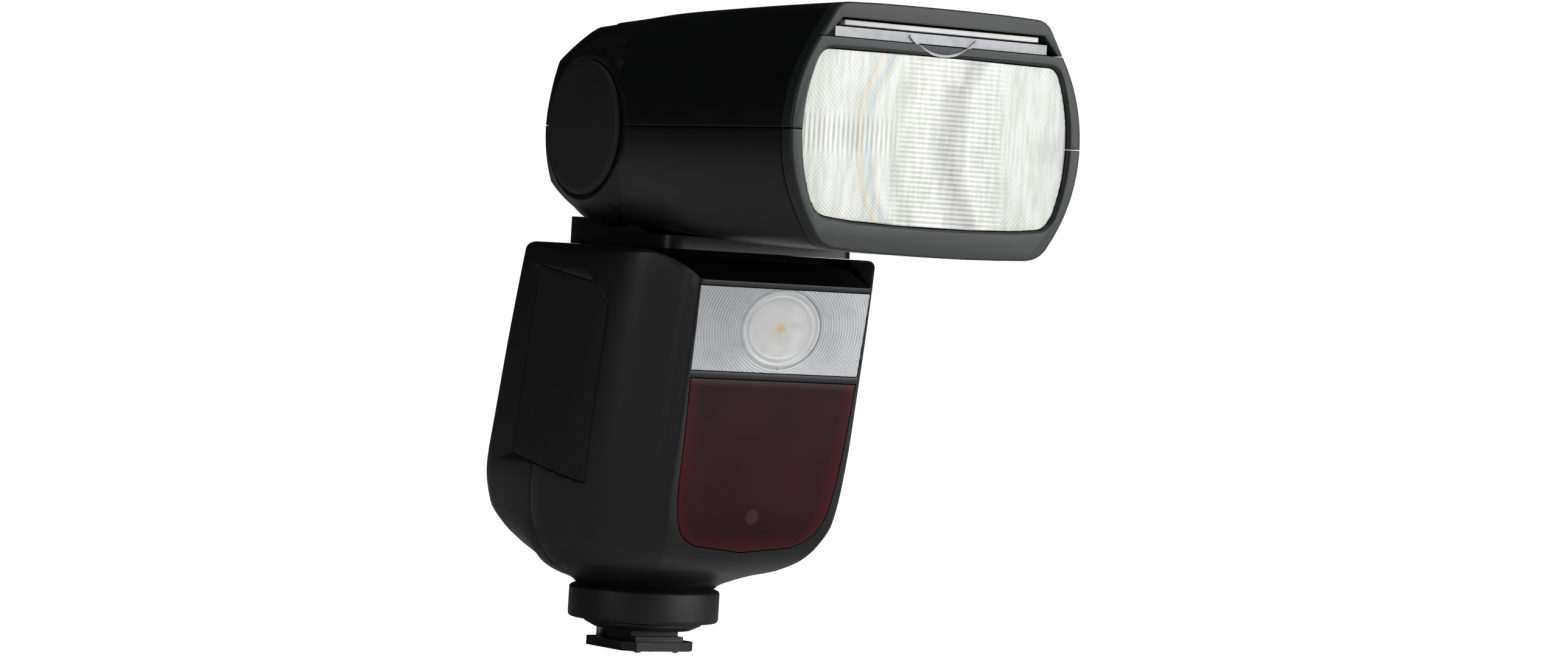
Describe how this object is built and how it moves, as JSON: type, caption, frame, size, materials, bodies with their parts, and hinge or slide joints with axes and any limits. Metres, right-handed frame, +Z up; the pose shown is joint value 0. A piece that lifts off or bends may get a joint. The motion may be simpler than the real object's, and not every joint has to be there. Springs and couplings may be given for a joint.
{
  "type": "speedlight flash",
  "caption": "Camera-top speedlight with a tilting and swivelling zoom head, front lamp window, rear controls and a locking hot-shoe foot.",
  "frame": {"origin": "centre of the hot-shoe foot's bottom face", "axes": "+Z up through the foot, -Y the way the flash fires at rest, -X the side with the socket cover"},
  "size_m": [0.0726, 0.1229, 0.1408],
  "materials": {
    "shell_black": "fine-grained satin",
    "matte_black": "matte",
    "rubber_black": "matte",
    "clear_lens": "clear, ribbed",
    "red_window": "clear dark red",
    "screen_glass": "polished",
    "white_card": "matte white",
    "grey_plastic": "satin",
    "bright_reflector": "bright",
    "steel": "machined",
    "contact_gold": "polished",
    "led_yellow": "matte",
    "board_green": "satin",
    "tube_glass": "clear"
  },
  "bodies": {
    "housing": {"foot_plate": "matte_black", "foot_screw_1": "steel", "foot_screw_2": "steel", "foot_screw_3": "steel", "foot_screw_4": "steel", "collar": "matte_black", "front_shell": "shell_black", "rear_shell": "shell_black", "led_window": "clear_lens", "led_emitter": "led_yellow", "sensor_window": "red_window", "light_sensor": "matte_black", "screen_window": "screen_glass", "screen_module": "grey_plastic", "main_board": "board_green", "flash_capacitor": "matte_black", "port_panel": "matte_black", "usb_socket": "steel", "sync_socket": "matte_black", "battery_tray": "matte_black"},
    "lock_lever": {"lock_lever": "matte_black"},
    "lock_pin": {"lock_pin": "steel"},
    "port_cover": {"port_cover": "rubber_black"},
    "battery": {"battery_pack": "shell_black"},
    "battery_latch": {"battery_latch": "shell_black"},
    "control_dial": {"control_dial": "grey_plastic"},
    "set_button": {"set_button": "rubber_black"},
    "test_button": {"test_button": "rubber_black"},
    "power_switch": {"power_switch": "grey_plastic"},
    "mode_button": {"mode_button": "rubber_black"},
    "sync_button": {"sync_button": "rubber_black"},
    "turret": {"neck": "shell_black", "swivel_retainer": "steel"},
    "head": {"tilt_axle": "steel", "head_upper_shell": "shell_black", "head_lower_shell": "shell_black", "bezel_upper": "grey_plastic", "bezel_lower": "grey_plastic", "lens": "clear_lens", "pivot_cap_left": "matte_black", "pivot_cap_right": "matte_black", "guide_rod": "steel", "zoom_motor": "steel", "drawer_tray": "matte_black"},
    "wide_panel": {"wide_panel": "clear_lens"},
    "bounce_card": {"bounce_card": "white_card"},
    "zoom_carriage": {"zoom_carriage": "matte_black", "reflector": "bright_reflector", "flash_tube": "tube_glass"},
    "zoom_screw": {"zoom_screw": "steel"},
    "function_button_1": {"function_button_1": "rubber_black"},
    "function_button_2": {"function_button_2": "rubber_black"},
    "function_button_3": {"function_button_3": "rubber_black"},
    "function_button_4": {"function_button_4": "rubber_black"},
    "contact_pin_1": {"contact_pin_1": "contact_gold"},
    "contact_pin_2": {"contact_pin_2": "contact_gold"},
    "contact_pin_3": {"contact_pin_3": "contact_gold"},
    "contact_pin_4": {"contact_pin_4": "contact_gold"},
    "contact_pin_5": {"contact_pin_5": "contact_gold"}
  },
  "joints": [
    {"name": "head_swivel", "type": "hinge", "parent": "housing", "child": "turret", "pos_m": [0, -0.0183, 0.0889], "axis": [0, 0, 1], "range_deg": [-180, 150]},
    {"name": "head_tilt", "type": "hinge", "parent": "turret", "child": "head", "pos_m": [0, -0.0183, 0.1134], "axis": [-1, 0, 0], "range_deg": [0, 120]},
    {"name": "wide_panel_slide", "type": "slide", "parent": "head", "child": "wide_panel", "axis": [0, -1, 0], "range_m": [0, 0.044]},
    {"name": "bounce_card_slide", "type": "slide", "parent": "head", "child": "bounce_card", "axis": [0, -1, 0], "range_m": [0, 0.044]},
    {"name": "zoom_screw_turn", "type": "hinge", "parent": "head", "child": "zoom_screw", "pos_m": [0, -0.07, 0.0982], "axis": [0, 1, 0], "range_deg": [-5, 2165]},
    {"name": "zoom_slide", "type": "slide", "parent": "head", "child": "zoom_carriage", "axis": [0, -1, 0], "range_m": [0, 0.012]},
    {"name": "port_cover_hinge", "type": "hinge", "parent": "housing", "child": "port_cover", "pos_m": [-0.0352, -0.0023, 0.0626], "axis": [0, 0.1564, -0.9877], "range_deg": [0, 105]},
    {"name": "battery_slide", "type": "slide", "parent": "housing", "child": "battery", "axis": [1, 0, 0], "range_m": [0, 0.045]},
    {"name": "battery_latch_slide", "type": "slide", "parent": "housing", "child": "battery_latch", "axis": [0, 0, -1], "range_m": [0, 0.0015], "stiffness_N_per_m": 500, "springref_m": -0.0012},
    {"name": "lock_lever_turn", "type": "hinge", "parent": "housing", "child": "lock_lever", "pos_m": [0, 0, 0.0106], "axis": [0, 0, 1], "range_deg": [-1, 61]},
    {"name": "lock_pin_slide", "type": "slide", "parent": "housing", "child": "lock_pin", "axis": [0, 0, -1], "range_m": [0, 0.0016]},
    {"name": "control_dial_turn", "type": "hinge", "parent": "housing", "child": "control_dial", "pos_m": [0, 0.01614, 0.0445], "axis": [0, 0.9748, 0.2232], "continuous": true},
    {"name": "set_button_press", "type": "slide", "parent": "housing", "child": "set_button", "axis": [0, -0.9748, -0.2232], "range_m": [0, 0.0006], "stiffness_N_per_m": 600, "springref_m": -0.0008},
    {"name": "mode_button_press", "type": "slide", "parent": "housing", "child": "mode_button", "axis": [0, -0.9748, -0.2232], "range_m": [0, 0.0006], "stiffness_N_per_m": 600, "springref_m": -0.0008},
    {"name": "sync_button_press", "type": "slide", "parent": "housing", "child": "sync_button", "axis": [0, -0.9748, -0.2232], "range_m": [0, 0.0006], "stiffness_N_per_m": 600, "springref_m": -0.0008},
    {"name": "test_button_press", "type": "slide", "parent": "housing", "child": "test_button", "axis": [0, -0.9748, -0.2232], "range_m": [0, 0.0006], "stiffness_N_per_m": 600, "springref_m": -0.0008},
    {"name": "function_button_1_press", "type": "slide", "parent": "housing", "child": "function_button_1", "axis": [0, -0.9748, -0.2232], "range_m": [0, 0.0006], "stiffness_N_per_m": 600, "springref_m": -0.0008},
    {"name": "function_button_2_press", "type": "slide", "parent": "housing", "child": "function_button_2", "axis": [0, -0.9748, -0.2232], "range_m": [0, 0.0006], "stiffness_N_per_m": 600, "springref_m": -0.0008},
    {"name": "function_button_3_press", "type": "slide", "parent": "housing", "child": "function_button_3", "axis": [0, -0.9748, -0.2232], "range_m": [0, 0.0006], "stiffness_N_per_m": 600, "springref_m": -0.0008},
    {"name": "function_button_4_press", "type": "slide", "parent": "housing", "child": "function_button_4", "axis": [0, -0.9748, -0.2232], "range_m": [0, 0.0006], "stiffness_N_per_m": 600, "springref_m": -0.0008},
    {"name": "power_switch_slide", "type": "slide", "parent": "housing", "child": "power_switch", "axis": [1, 0, 0], "range_m": [0, 0.0046]},
    {"name": "contact_pin_1_press", "type": "slide", "parent": "housing", "child": "contact_pin_1", "axis": [0, 0, 1], "range_m": [0, 0.0003], "stiffness_N_per_m": 300, "springref_m": -0.0008},
    {"name": "contact_pin_2_press", "type": "slide", "parent": "housing", "child": "contact_pin_2", "axis": [0, 0, 1], "range_m": [0, 0.0003], "stiffness_N_per_m": 300, "springref_m": -0.0008},
    {"name": "contact_pin_3_press", "type": "slide", "parent": "housing", "child": "contact_pin_3", "axis": [0, 0, 1], "range_m": [0, 0.0003], "stiffness_N_per_m": 300, "springref_m": -0.0008},
    {"name": "contact_pin_4_press", "type": "slide", "parent": "housing", "child": "contact_pin_4", "axis": [0, 0, 1], "range_m": [0, 0.0003], "stiffness_N_per_m": 300, "springref_m": -0.0008},
    {"name": "contact_pin_5_press", "type": "slide", "parent": "housing", "child": "contact_pin_5", "axis": [0, 0, 1], "range_m": [0, 0.0003], "stiffness_N_per_m": 300, "springref_m": -0.0008}
  ],
  "couplings": [
    {"joint": "zoom_screw_turn", "follows": "zoom_slide", "rad_per_m": 3141.6},
    {"joint": "lock_lever_turn", "follows": "lock_pin_slide", "rad_per_m": 654.5}
  ]
}
